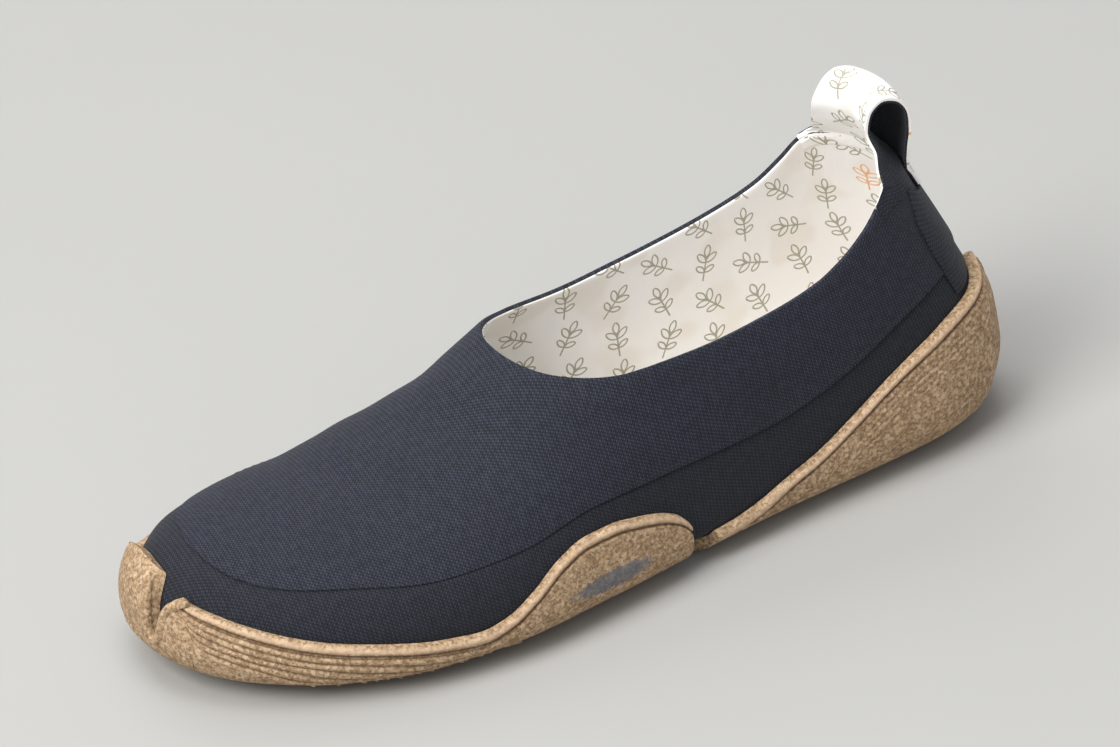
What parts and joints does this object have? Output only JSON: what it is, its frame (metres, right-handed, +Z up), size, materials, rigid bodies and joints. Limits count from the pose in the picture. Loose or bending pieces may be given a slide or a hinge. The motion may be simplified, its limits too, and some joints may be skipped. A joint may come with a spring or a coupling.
{
  "type": "barefoot shoe",
  "caption": "Left slip-on barefoot shoe: low fabric upper with pull loop on a thin cork-rubber sole that wraps up at heel, toe and outer side, with an arch cut and a slit outer lobe.",
  "frame": {"origin": "on the floor under the middle of the shoe's box", "axes": "+Z up, toe towards -X, heel towards +X, outer side towards -Y, inner side towards +Y"},
  "size_m": [0.2678, 0.1026, 0.1107],
  "materials": {
    "navy_fabric": "woven, matte",
    "cork_rubber": "cork granules, matte",
    "lining_fabric": "printed lining cloth, matte"
  },
  "bodies": {
    "root": {"upper": "navy_fabric", "bottom_panel": "navy_fabric", "heel_strip": "navy_fabric", "outsole": "cork_rubber", "insole": "lining_fabric", "pull_loop": "lining_fabric"}
  },
  "joints": []
}
